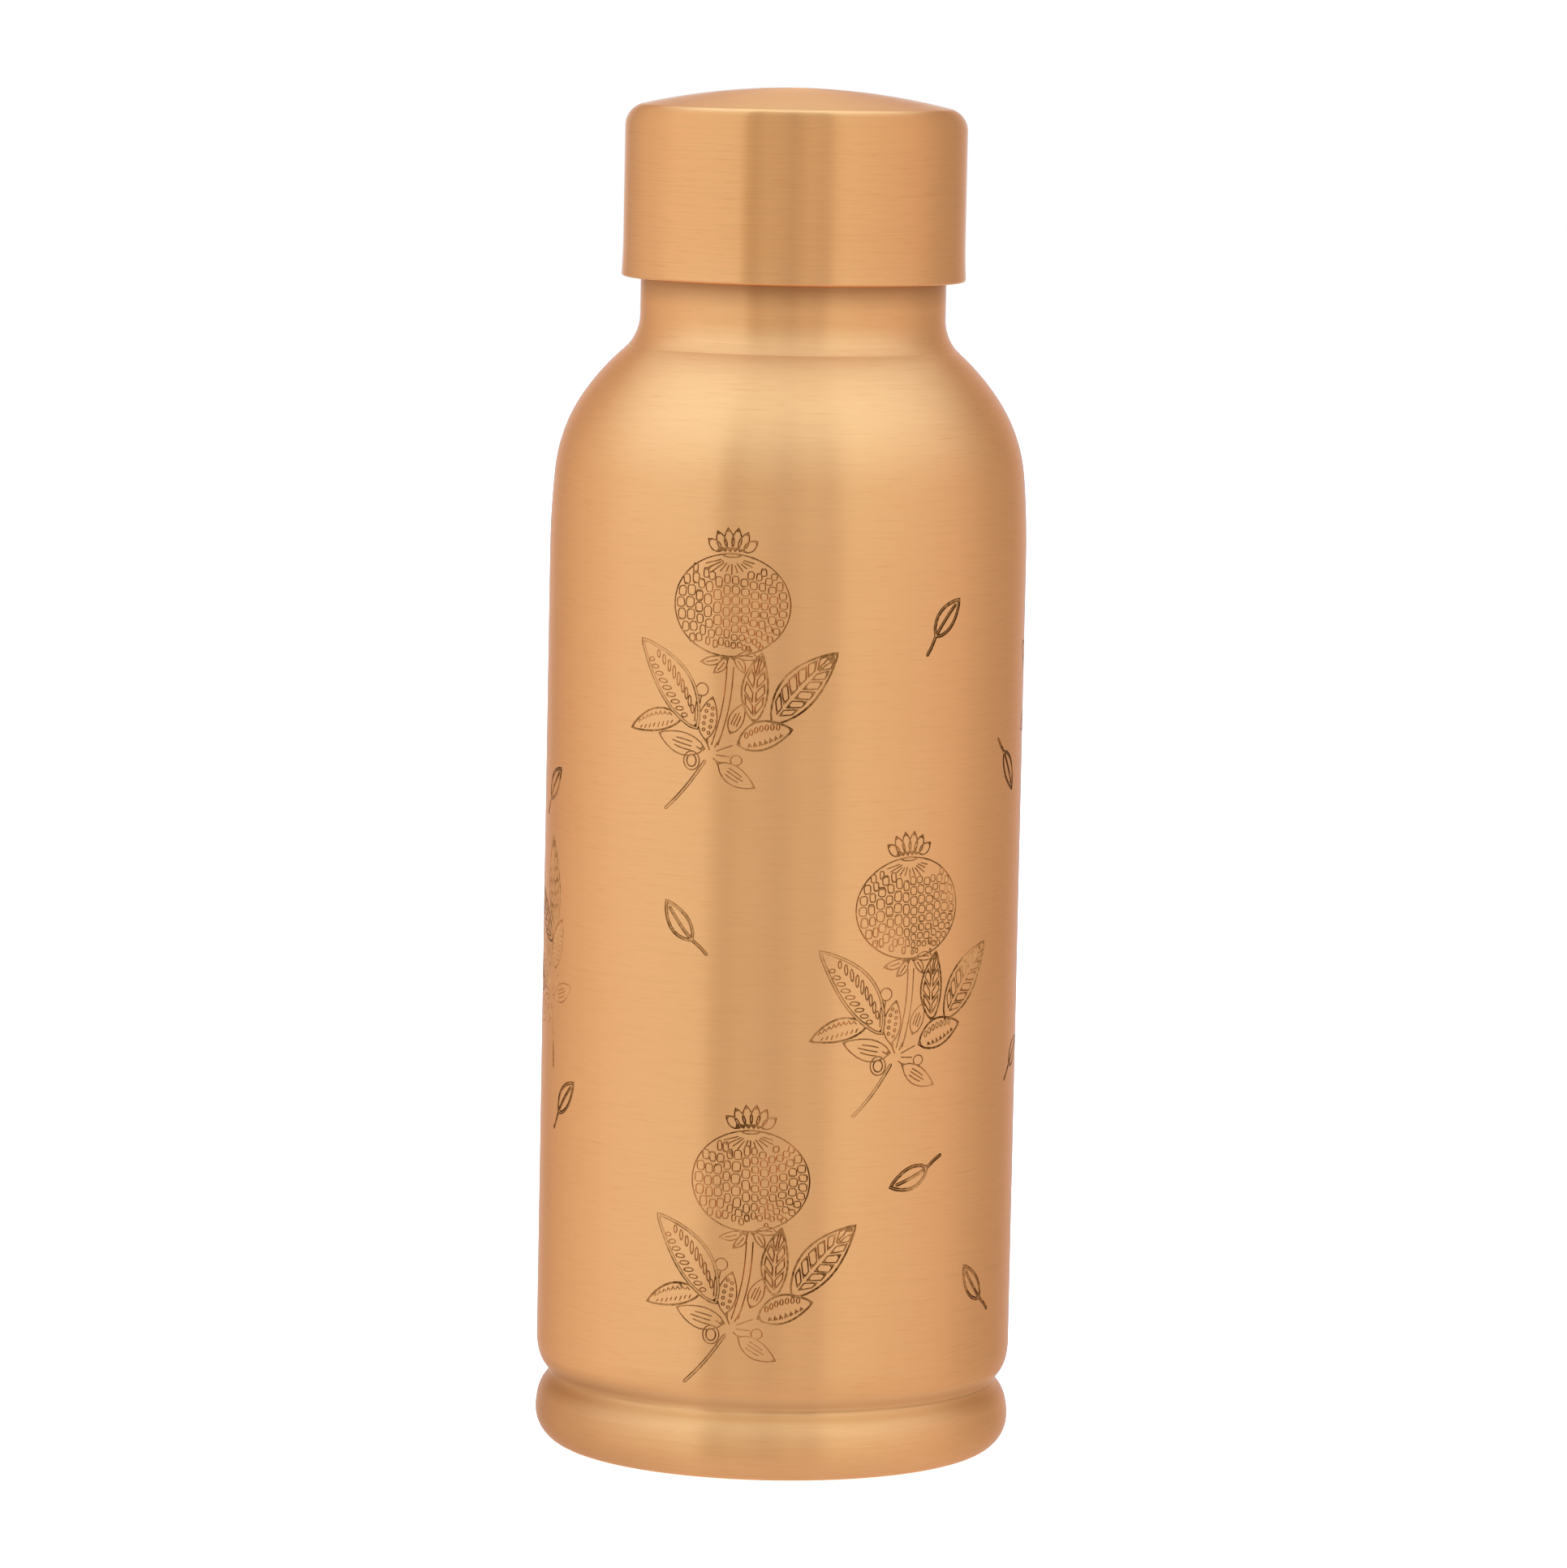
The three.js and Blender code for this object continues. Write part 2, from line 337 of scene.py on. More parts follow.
def oval(centre, half_width, half_height, tilt=0.0, sides=14, cut=THIN):
    points = []
    for i in range(sides):
        angle = 2 * math.pi * i / sides
        x, y = half_width * math.cos(angle), half_height * math.sin(angle)
        points.append((
            centre[0] + x * math.cos(tilt) - y * math.sin(tilt),
            centre[1] + x * math.sin(tilt) + y * math.cos(tilt),
        ))
    return path(points, closed=True, cut=cut)


class Leaf:
    """A pointed leaf from base to tip. at(t, u) is the point at share t of its length and
    share u of its half width to the left of the way it grows."""

    def __init__(self, base, tip, width, bend=0.0, fullest=0.45):
        self.base, self.tip = np.array(base, float), np.array(tip, float)
        self.width, self.bend = width, bend
        self.power = math.log(0.5) / math.log(fullest)
        self.along = self.tip - self.base
        self.length = float(np.hypot(*self.along))
        self.across = np.array((-self.along[1], self.along[0])) / self.length

    def at(self, t, u):
        half = self.width / 2 * max(0.0, math.sin(math.pi * t ** self.power)) ** 0.85
        middle = self.base + self.along * t + self.across * self.bend * 4 * t * (1 - t)
        return middle + self.across * half * u

    def outline(self, cut=THIN):
        count = max(6, int(self.length / STROKE_STEP))
        left = [self.at(i / count, 1) for i in range(count + 1)]
        right = [self.at(i / count, -1) for i in range(count - 1, 0, -1)]
        return path(left + right, closed=True, cut=cut)

    def line(self, start, end, steps=6, cut=THIN):
        """A stroke between two (t, u) places that follows the leaf."""
        shares = [i / steps for i in range(steps + 1)]
        return path([
            self.at(start[0] + (end[0] - start[0]) * s, start[1] + (end[1] - start[1]) * s)
            for s in shares
        ], cut=cut)

    def loop(self, centre, length, width, lean):
        """A small closed loop in the leaf, its long way leaning forward by lean."""
        direction = math.atan2(self.along[1], self.along[0]) + lean
        return oval(self.at(*centre), length / 2, width / 2, direction, sides=LOOP_SIDES)


def comb(leaf):
    """Long loops on the right and short ones on the left, all leaning to the tip."""
    strokes = []
    for i in range(9):
        t = 0.17 + 0.077 * i
        full = math.sin(math.pi * t ** leaf.power)
        strokes.append(leaf.loop((t, -0.34), 2.1 * full + wobble(0.15), 0.5, -0.62 + wobble(0.06)))
        strokes.append(leaf.loop((t, 0.55), 1.6 * full, 0.6, 0.9 + wobble(0.1)))
    return strokes


def teeth(leaf):
    """Dashes along one edge and small hooks along the other."""
    strokes = []
    for i in range(8):
        t = 0.18 + 0.085 * i
        strokes.append(leaf.line((t, 0.3), (t + 0.04, 0.62 + wobble(0.08)), 2))
        strokes.append(leaf.line((t, -0.34), (t + 0.03, -0.66 + wobble(0.06)), 2))
        strokes.append(leaf.line((t + 0.03, -0.66), (t + 0.06, -0.42), 2))
    return strokes


def panels(leaf):
    """Outlined panels on both sides of a plain vein."""
    strokes = []
    count = round(leaf.length / 2.5)
    step = 0.76 / count
    for i in range(count):
        t = 0.1 + step * i
        for side in (1, -1):
            corners = (
                (t, 0.13), (t + 0.7 * step, 0.13), (t + 1.5 * step, 0.74), (t + 0.8 * step, 0.76)
            )
            points = [leaf.at(a + wobble(0.008), u * side) for a, u in corners]
            strokes.append(path(points, closed=True, cut=DARK))
    return strokes


def scallops(leaf):
    """Small loops along one edge and pointed bites along the other."""
    strokes = []
    for i in range(7):
        t = 0.2 + 0.095 * i
        strokes.append(leaf.loop((t, 0.48), 0.9, 0.5, 1.2))
        bite = ((t - 0.02, -0.66), (t + 0.01, -0.34), (t + 0.035, -0.64))
        strokes.append(path([leaf.at(a, u) for a, u in bite], cut=DARK))
    return strokes


def lines(leaf):
    """Three strokes along the leaf."""
    return [leaf.line((0.28, u), (0.68 - 0.16 * abs(u), u * 0.9), 7) for u in (-0.45, 0.0, 0.42)]


def dots(leaf):
    """Small rings in two rows."""
    strokes = []
    for i in range(5):
        for u in (-0.42, 0.35):
            t = 0.18 + 0.14 * i + (0.05 if u > 0 else 0)
            strokes.append(oval(leaf.at(t, u), 0.22, 0.22, sides=LOOP_SIDES))
    return strokes


def cell(centre, half_width, half_height):
    """A small closed stroke between a rectangle and an oval."""
    points = []
    for k in range(LOOP_SIDES):
        angle = 2 * math.pi * (k + 0.5) / LOOP_SIDES
        c, s = math.cos(angle), math.sin(angle)
        points.append((
            centre[0] + math.copysign(abs(c) ** 0.6, c) * half_width + wobble(0.05),
            centre[1] + math.copysign(abs(s) ** 0.6, s) * half_height + wobble(0.05),
        ))
    return path(points, closed=True)


def seed_head(centre, half_width, half_height):
    """A round head with curved columns of cells, smaller on the right, and a fan of dashes at
    its top. Places in it are shares of its half width and half height."""
    strokes = [oval(centre, half_width, half_height, sides=72, cut=DARK)]
    columns, gap = 12, 0.13
    edges = [-0.97 + 1.94 * i / columns + wobble(0.012) for i in range(columns + 1)]
    for i in range(columns):
        row = 0.235 if i < columns / 2 else 0.19
        top = 0.6 if abs(edges[i]) > 0.4 else 0.52
        y = -0.95 + row * hand.random()
        while y < top:
            height = row * hand.uniform(0.9, 1.1) * (0.5 + 0.5 * math.sqrt(1 - y * y))
            squeeze = math.sqrt(1 - (y + height / 2) ** 2)
            across = (edges[i + 1] - edges[i]) / 2 * half_width * squeeze - gap
            up = height / 2 * half_height - gap
            if across > 0.12 and up > 0.16:
                x = (edges[i] + edges[i + 1]) / 2 * squeeze
                middle = (centre[0] + half_width * x, centre[1] + half_height * (y + height / 2))
                strokes.append(cell(middle, across, up))
            y += height
    for i in range(11):
        angle = math.radians(-66 + 13.2 * i)
        x, y = 1.6 * math.sin(angle), -math.cos(angle)
        fan_top = centre[1] + half_height - 0.4
        strokes.append(path([
            (centre[0] + x * r, fan_top + y * r) for r in (1.2 + wobble(0.2), 2.5 + wobble(0.4))
        ]))
    return strokes


def sprig():
    """One sprig, its origin where the leaves meet on the stem."""
    head = (2.7, 22.0)
    strokes = seed_head(head, 8.85, 7.55)
    for tip in ((-1.0, 31.7), (0.4, 32.9), (2.0, 33.4), (3.6, 33.4), (5.1, 32.8), (6.5, 31.5)):
        petal = Leaf((2.75 + (tip[0] - 2.75) * 0.45, 29.9), tip, 1.45, fullest=0.45)
        strokes.append(petal.outline(DARK))
    strokes.append(oval((2.7, 29.35), 1.35, 0.28))
    sepals = (((-1.9, 13.5), 1.3), ((0.2, 11.9), 1.25), ((4.9, 12.0), 1.25), ((6.9, 14.3), 1.3))
    for tip, width in sepals:
        sepal = Leaf((2.8 + (tip[0] - 2.8) * 0.2, 14.4), tip, width, bend=0.25, fullest=0.5)
        strokes += [sepal.outline(), sepal.line((0.3, 0.0), (0.75, 0.0), 3)]
    for shift in (-0.5, 0.5):
        strokes.append(path([
            (2.75 + shift - 2.15 * s + 0.5 * math.sin(math.pi * s), 12.9 - 11.6 * s)
            for s in (i / 16 for i in range(17))
        ]))
    leaves = (
        ((-2.3, 3.6), (-11.7, 16.3), 5.4, -0.9, comb, CHANNEL),
        ((-4.6, 5.0), (-13.5, 3.0), 3.3, -0.5, teeth, RIM),
        ((-0.9, 0.6), (-8.5, 2.6), 3.3, 0.3, lines, THIN),
        ((-0.9, 1.9), (0.2, 8.4), 2.9, 0.2, dots, THIN),
        ((6.5, 4.8), (7.5, 15.1), 3.9, 0.5, panels, RIM),
        ((9.1, 4.75), (18.7, 15.3), 5.5, 0.5, panels, RIM),
        ((4.0, 1.4), (12.2, 3.9), 4.2, 0.4, scallops, RIM),
        ((2.9, 3.0), (5.0, 7.6), 2.2, 0.1, lines, THIN),
        ((1.1, -1.4), (6.8, -4.9), 2.8, -0.2, lines, THIN),
    )
    for base, tip, width, bend, fill, cut in leaves:
        leaf = Leaf(base, tip, width, bend)
        strokes += [leaf.outline(cut), *fill(leaf)]
    strokes.append(oval((-1.5, 9.4), 0.95, 0.95))
    for side in (-0.3, 0.3):
        strokes.append(path([(-1.9 + side, 8.5), (-2.25 + side, 6.6), (-2.3 + side, 4.6)]))
    strokes.append(oval((3.9, -0.9), 0.85, 0.75))
    dashes = (
        ((-0.2, 0.5), (-0.8, 2.0)), ((0.6, 0.9), (1.7, 2.9)), ((0.9, 0.4), (3.3, 1.3)),
        ((0.9, -0.2), (2.8, -0.4)), ((0.4, -0.7), (1.3, -1.5)), ((-1.3, 0.3), (-2.2, 0.9)),
    )
    strokes += [path(dash) for dash in dashes]
    strokes.append(oval((-3.0, -1.2), 1.25, 1.4, sides=20))
    strokes.append(oval((-3.0, -1.2), 0.75, 0.9, sides=14, cut=DARK))
    strokes.append(path([
        (-0.9 - 6.2 * s, -1.2 - 7.3 * s - 0.5 * math.sin(math.pi * s))
        for s in (i / 14 for i in range(15))
    ], cut=CHANNEL))
    return strokes


def small_leaf():
    """A single leaf on a stalk, its origin at the stalk's end, growing along +x."""
    leaf = Leaf((3.0, 0.2), (10.1, 0.0), 3.1, 0.2)
    return [
        leaf.outline(BOLD),
        leaf.line((0.0, 0.0), (0.84, 0.0), 8, BOLD),
        path([(0.0, -0.35), (1.4, -0.2), (3.1, 0.2)], cut=BOLD),
    ]


# Where the drawings sit: degrees round from the front, height in mm, turn in degrees. They
# stay clear of the seam, at 194 degrees, which is also -166.
SPRIGS = (
    (-17.5, 109.1, 0), (102.5, 109.5, 8), (-137.5, 108.5, -6),
    (29, 64.2, 2), (158, 64.5, -10), (-73, 69.7, 50),
    (-10, 23.7, 0.5), (110, 26.5, 12), (-130, 24, -5),
)
SMALL_LEAVES = (
    (35, 124, 51), (-18, 79, 129), (43, 48.5, 203), (62.7, 23.8, 131), (63, 110.5, -55),
    (-69, 50, 47), (-79, 97, 45), (71, 58.5, 31),
    (162, 118, 100), (166, 40, 205), (180, 26, 115), (-94, 120, 110), (112, 84, 130),
    (-146, 93, 45), (-153, 62, 110), (-88, 22, 120), (92, 72, 60),
)


def placed(strokes, degrees, height, turn):
    """The strokes turned and moved to their place on the unrolled face."""
    angle = math.radians(turn)
    rotate = np.array([[math.cos(angle), math.sin(angle)], [-math.sin(angle), math.cos(angle)]])
    shift = np.array([math.radians(degrees) * BODY_RADIUS / MM, height])
    return [(points @ rotate + shift, *rest) for points, *rest in strokes]


def evenly_spaced(points, closed):
    """The path with points no further apart than the stroke step."""
    if closed:
        points = np.vstack([points, points[:1]])
    out = [points[0]]
    for a, b in zip(points[:-1], points[1:]):
        pieces = max(1, math.ceil(np.hypot(*(b - a)) / STROKE_STEP))
        out += [a + (b - a) * i / pieces for i in range(1, pieces + 1)]
    return np.array(out[:-1] if closed else out)


def tipped(points, distance):
    """An open path's outline at a distance, with a pointed end past each of its ends."""
    first, last = points[0] - points[1], points[-1] - points[-2]
    start = points[0] + first / np.hypot(*first) * distance
    end = points[-1] + last / np.hypot(*last) * distance
    left, right = offset(points, False, distance), offset(points, False, -distance)
    return np.vstack([[start], left, [end], right[::-1]])


def offset(points, closed, distance):
    if closed:
        before, after = np.roll(points, 1, axis=0), np.roll(points, -1, axis=0)
    else:
        before = np.vstack([points[:1], points[:-1]])
        after = np.vstack([points[1:], points[-1:]])
    run = after - before
    run /= np.maximum(np.hypot(run[:, 0], run[:, 1]), 1e-9)[:, None]
    return points + np.stack([-run[:, 1], run[:, 0]], 1) * distance


class StrokeField:
    """Looks up, for points on the unrolled face, how deep the strokes cut there."""
    CELL = 1.0
    REACH = 0.7

    def __init__(self, strokes):
        starts, ends, sizes = [], [], []
        for points, closed, *cut in strokes:
            following = np.roll(points, -1, axis=0) if closed else points[1:]
            first = points if closed else points[:-1]
            starts.append(first)
            ends.append(following)
            sizes.append(np.tile(cut, (len(first), 1)))
        self.start, self.end = np.concatenate(starts), np.concatenate(ends)
        self.size = np.concatenate(sizes)
        self.cells = {}
        low = np.floor((np.minimum(self.start, self.end) - self.REACH) / self.CELL).astype(int)
        high = np.floor((np.maximum(self.start, self.end) + self.REACH) / self.CELL).astype(int)
        for i, ((x0, y0), (x1, y1)) in enumerate(zip(low.tolist(), high.tolist())):
            for x in range(x0, x1 + 1):
                for y in range(y0, y1 + 1):
                    self.cells.setdefault((x, y), []).append(i)

    def read(self, points):
        """Depth as a share of the full depth, the distance clear of the nearest cut, and
        the tone of the deepest one."""
        depth, clear = np.zeros(len(points)), np.full(len(points), self.REACH)
        tone = np.zeros(len(points))
        cell = np.floor(points / self.CELL).astype(int)
        order = np.lexsort((cell[:, 1], cell[:, 0]))
        breaks = np.flatnonzero(np.any(np.diff(cell[order], axis=0), axis=1)) + 1
        for group in np.split(order, breaks):
            near = self.cells.get(tuple(cell[group[0]].tolist()))
            if near is None:
                continue
            start, run = self.start[near], self.end[near] - self.start[near]
            to_point = points[group][:, None, :] - start[None]
            share = (to_point * run).sum(-1) / np.maximum((run * run).sum(-1), 1e-12)
            gap = to_point - np.clip(share, 0, 1)[..., None] * run
            distance = np.hypot(gap[..., 0], gap[..., 1])
            width, wall, dark = self.size[near].T
            sunk = (width / 2 - distance) / wall
            depth[group] = np.clip(sunk, 0, 1).max(1)
            clear[group] = (distance - width / 2).min(1)
            tone[group] = dark[sunk.argmax(1)]
        return depth, clear, tone


def drawing():
    """Every stroke in its place, with points close enough to bend it."""
    strokes = []
    for place in SPRIGS:
        strokes += placed(sprig(), *place)
    for place in SMALL_LEAVES:
        strokes += placed(small_leaf(), *place)
    return [(evenly_spaced(points, closed), closed, *cut) for points, closed, *cut in strokes]


def fold_lines(strokes):
    """Points and the edges between them, where the face folds: along the cuts' outer edges
    and along their floors' edges, or the bottom of a V."""
    points, edges = [], []

    def add_line(line, closed):
        first = len(points)
        points.extend(line.tolist())
        edges.extend((i, i + 1) for i in range(first, len(points) - 1))
        if closed:
            edges.append((len(points) - 1, first))

    for line, closed, width, wall, _ in strokes:
        distances = [width / 2, width / 2 - wall]
        if distances[1] < THINNEST_FLOOR:
            add_line(line, closed)
            distances.pop()
        for distance in distances:
            if closed:
                add_line(offset(line, True, distance), True)
                add_line(offset(line, True, -distance), True)
            else:
                add_line(tipped(line, distance), True)
    return points, edges


def plain_points(field, columns, rows):
    """A grid's points over the whole face, less those too near to a stroke."""
    grid = np.stack(np.meshgrid(columns, rows), -1).reshape(-1, 2)
    x, y = grid.T
    border = (x == columns[0]) | (x == columns[-1]) | (y == rows[0]) | (y == rows[-1])
    _, clear, _ = field.read(grid)
    return grid[border | (clear > CLEAR_OF_STROKES)]


def triangulated(points, edges, columns, rows):
    """Triangles between the points that keep the edges, turned to face out."""
    flat_points, _, faces, *_ = delaunay_2d_cdt(
        [Vector(p) for p in points], edges, [], 0, TRIANGULATION_WELD
    )
    flat_points = np.array([tuple(p) for p in flat_points])
    faces = np.array(faces)
    a, b, c = (flat_points[faces[:, i]] for i in range(3))
    area = (b[:, 0] - a[:, 0]) * (c[:, 1] - a[:, 1]) - (b[:, 1] - a[:, 1]) * (c[:, 0] - a[:, 0])
    faces[area < 0] = faces[area < 0][:, ::-1]
    # The triangulation rounds, so border points go back to their exact places.
    for axis, ends, marks in ((1, rows[[0, -1]], columns), (0, columns[[0, -1]], rows)):
        for end in ends:
            at_end = np.abs(flat_points[:, axis] - end) < 1e-3
            flat_points[at_end, axis] = end
            other = flat_points[at_end, 1 - axis]
            flat_points[at_end, 1 - axis] = marks[np.abs(other[:, None] - marks).argmin(1)]
    return flat_points, faces


def engraved_block():
    """The straight part of the outer face, with the drawing cut into it."""
    strokes = drawing()
    field = StrokeField(strokes)
    low, high = ENGRAVED_LOW / MM, ENGRAVED_HIGH / MM
    round_the_body = 2 * math.pi * BODY_RADIUS / MM
    left_edge = math.radians(SEAM_ANGLE) * BODY_RADIUS / MM - round_the_body
    columns = left_edge + round_the_body * round_shares
    # Close together over the groove's end and the shoulder's start, and 5 mm apart between.
    rows = np.concatenate([
        np.linspace(low, 19, 12), np.arange(24, 135, 5), np.linspace(SHOULDER_START / MM, high, 5)
    ])
    points, edges = fold_lines(strokes)
    points += plain_points(field, columns, rows).tolist()
    flat_points, faces = triangulated(points, edges, columns, rows)

    depth, _, tone = field.read(flat_points)
    height = flat_points[:, 1] * MM
    turn = flat_points[:, 0] * MM / BODY_RADIUS
    radius = face_radius(height) - depth * ETCH_DEPTH * MM
    tilt = face_angle(height)
    positions = round_axis(radius, height, turn)
    normals = round_axis(np.cos(tilt), np.sin(tilt), turn)
    u = (flat_points[:, 0] - left_edge) / round_the_body
    uvs = np.stack([u, np.interp(flat_points[:, 1], (low, high), UV_ENGRAVED)], 1)
    corner_depth = depth[faces]
    is_wall = corner_depth.max(1) - corner_depth.min(1) > 0.2
    on_floor = ~is_wall & (corner_depth.min(1) > 0.5)
    etch = tone[faces].max(1) * (is_wall + FLOOR_TONE * on_floor)
    return block(positions, normals, uvs, faces, is_wall, etch)


# -------- pieces
def body_shell():
    upper = [p for p in shoulder_line(0, 10) if p[1] > ENGRAVED_HIGH]
    upper = [(face_radius(ENGRAVED_HIGH), ENGRAVED_HIGH, face_angle(ENGRAVED_HIGH)), *upper]
    lip = straight((SPIGOT_RADIUS, LIP_HEIGHT), (SPIGOT_RADIUS - WALL, LIP_HEIGHT))
    inner = [
        *backwards(neck_line(WALL)),
        *backwards(shoulder_line(WALL, 6)),
        *backwards(groove_line(WALL, FOOT_CORNER_RADIUS, GROOVE_END, 18)),
        *backwards(foot_line(WALL)),
    ]
    leg = STANDING_RING_INNER_RADIUS
    leg_end = straight((leg + WALL, BASE_LEG_HEIGHT), (leg, BASE_LEG_HEIGHT))
    foot = foot_line(0) + groove_line(0, FOOT_CORNER_RADIUS, ENGRAVED_LOW, 30)
    foot[-1] = (face_radius(ENGRAVED_LOW), ENGRAVED_LOW, face_angle(ENGRAVED_LOW))
    blocks = [
        turned_block(foot, 0, UV_ENGRAVED[0]),
        engraved_block(),
        turned_block(upper + neck_line(0) + lip, UV_ENGRAVED[1], UV_OUTSIDE_TOP),
        turned_block(inner + leg_end, UV_OUTSIDE_TOP, 1, material=1),
    ]
    return mesh_object("engraved_body", blocks, [copper, plain_copper])


def cap_line(inset):
    """The cap's flared edge, its side, its corner and its dome."""
    corner_radius = CAP_RADIUS - CAP_CORNER_RADIUS
    dome_height = CAP_TOP - CAP_DOME_RADIUS
    lean = math.asin(corner_radius / (CAP_DOME_RADIUS - CAP_CORNER_RADIUS))
    corner_height = dome_height + (CAP_DOME_RADIUS - CAP_CORNER_RADIUS) * math.cos(lean)
    top_angle = math.pi / 2 - lean
    flare = []
    edge_height = CAP_BOTTOM + WALL / 2
    for i in range(9):
        height = edge_height + (CAP_FLARE_HEIGHT - WALL / 2) * i / 8
        below_top = (CAP_BOTTOM + CAP_FLARE_HEIGHT - height) / CAP_FLARE_HEIGHT
        out = (CAP_MOUTH_RADIUS - CAP_RADIUS) * below_top ** 2
        slope = 2 * (CAP_MOUTH_RADIUS - CAP_RADIUS) * below_top / CAP_FLARE_HEIGHT
        flare.append((CAP_RADIUS + out - inset, height, math.atan(slope)))
    corner = arc(corner_radius, corner_height, CAP_CORNER_RADIUS - inset, 0, top_angle, 24)
    # The brushing carries the side's shading over the corner, almost to the dome.
    corner = [(r, z, top_angle * (a / top_angle) ** CAP_CORNER_SHADING) for r, z, a in corner]
    dome = arc(0, dome_height, CAP_DOME_RADIUS - inset, top_angle, math.pi / 2, 24)
    dome[-1] = (0, dome[-1][1], math.pi / 2)
    return [
        *flare,
        *straight(flare[-1][:2], (CAP_RADIUS - inset, corner_height), 4),
        *corner,
        *dome,
    ]


def cap_shell():
    """One sheet, its edge round at the mouth."""
    outside, inside = cap_line(0), backwards(cap_line(WALL))
    edge_radius = (outside[0][0] + inside[-1][0]) / 2
    edge = arc(edge_radius, outside[0][1], WALL / 2, -math.pi, 0, 10)
    blocks = [
        turned_block(edge + outside, 0, 0.8),
        turned_block(inside, 0.8, 1, material=1),
    ]
    return mesh_object("domed_cap", blocks, [copper, plain_copper])


def thread_tooth(turn, height, bottom, top):
    """0 at the root to 1 at the crest of a right-handed thread that fades at both ends."""
    turns = height / THREAD_PITCH - turn / (2 * math.pi)
    from_middle = np.abs(turns - np.round(turns))
    flank = (THREAD_BASE_SHARE / 2 - from_middle) / ((THREAD_BASE_SHARE - THREAD_CREST_SHARE) / 2)
    to_end = np.minimum(height - bottom, top - height) / THREAD_FADE
    flank = np.clip(flank, 0, 1)
    return flank ** 2 * (3 - 2 * flank) * np.clip(to_end, 0, 1)


def threaded_block(bottom, top, root, crest, phase, inside):
    """The threaded face of a ring. An inside thread faces the axis."""
    rows = round((top - bottom) / THREAD_PITCH * ROWS_PER_PITCH) + 1
    height = np.linspace(bottom, top, rows)[:, None]
    turn = round_angles

    def radius_at(turn, height):
        helix = turn - math.pi / 2 + phase
        return root + (crest - root) * thread_tooth(helix, height, bottom, top)

    radius = radius_at(turn, height)
    further, back = radius_at(turn + TURN_STEP, height), radius_at(turn - TURN_STEP, height)
    by_turn = (further - back) / (2 * TURN_STEP)
    above, below = radius_at(turn, height + SLOPE_STEP), radius_at(turn, height - SLOPE_STEP)
    by_height = (above - below) / (2 * SLOPE_STEP)
    sine, cosine = np.sin(turn), np.cos(turn)
    across = by_turn / radius
    normals = np.stack([
        sine - across * cosine, -cosine - across * sine, -by_height * np.ones_like(turn)
    ], -1)
    normals = (normals / np.linalg.norm(normals, axis=-1, keepdims=True)).reshape(-1, 3)
    points = round_axis(radius, height, turn)
    v = 0.5 * (height - bottom) / (top - bottom)
    uvs = np.stack(np.broadcast_arrays(round_shares, v), -1).reshape(-1, 2)
    faces = grid_faces(rows, COLUMNS)
    if inside:
        return block(points, -normals, uvs, faces[:, ::-1])
    return block(points, normals, uvs, faces)


def neck_thread_ring():
    """The ring round the spigot, with the outside thread."""
    crest = ring_high.x
    root, bore = crest - THREAD_DEPTH, crest - 1.6 * MM
    low, high = ring_low.z, ring_high.z
    rest = [
        *straight((root, high), (bore, high)),
        *straight((bore, high), (bore, low)),
        *straight((bore, low), (root, low)),
    ]
    blocks = [threaded_block(low, high, root, crest, 0, inside=False), turned_block(rest, 0.5, 1)]
    return mesh_object("neck_thread", blocks, [plain_copper])


def cap_thread_liner():
    """The cup inside the cap, with the inside thread, which starts half a turn round."""
    outer = liner_high.x
    root, ceiling = outer - 1.3 * MM, liner_high.z - 1.2 * MM
    crest, chamfer = root - THREAD_DEPTH, 1.6 * MM
    low, high = liner_low.z, liner_high.z
    rest = [
        *straight((root, low), (outer, low)),
        *straight((outer, low), (outer, high - chamfer)),
        *straight((outer, high - chamfer), (outer - chamfer, high)),
        *straight((outer - chamfer, high), (0, high)),
    ]
    roof = straight((0, ceiling), (root, ceiling))
    blocks = [
        threaded_block(low, ceiling, root, crest, math.pi, inside=True),
        turned_block(rest, 0.5, 0.8),
        turned_block(roof, 0.8, 1),
    ]
    return mesh_object("cap_liner", blocks, [plain_copper])


def sealing_gasket():
    """A flat ring with soft edges."""
    inner, outer = gasket_high.x - 1.6 * MM, gasket_high.x
    low, high, soft = gasket_low.z, gasket_high.z, 0.35 * MM
    line = [
        *arc(outer - soft, low + soft, soft, -math.pi / 2, 0, 5),
        *arc(outer - soft, high - soft, soft, 0, math.pi / 2, 5),
        *arc(inner + soft, high - soft, soft, math.pi / 2, math.pi, 5),
        *arc(inner + soft, low + soft, soft, math.pi, 1.5 * math.pi, 5),
    ]
    return mesh_object("seal_ring", [turned_block(line + line[:1])], [silicone])


def base_disc():
    """A shallow dish with its rim up inside the foot."""
    rim, low, high = disc_high.x, disc_low.z, disc_high.z
    inner, floor, bend = rim - WALL, low + WALL, 0.8 * MM
    line = [
        *straight((0, low), (rim - bend, low), 12),
        *arc(rim - bend, low + bend, bend, -math.pi / 2, 0, 6),
        *straight((rim, low + bend), (rim, high)),
        *straight((rim, high), (inner, high)),
        *straight((inner, high), (inner, floor)),
        *straight((inner, floor), (0, floor), 12),
    ]
    return mesh_object("base_pan", [turned_block(line)], [plain_copper])


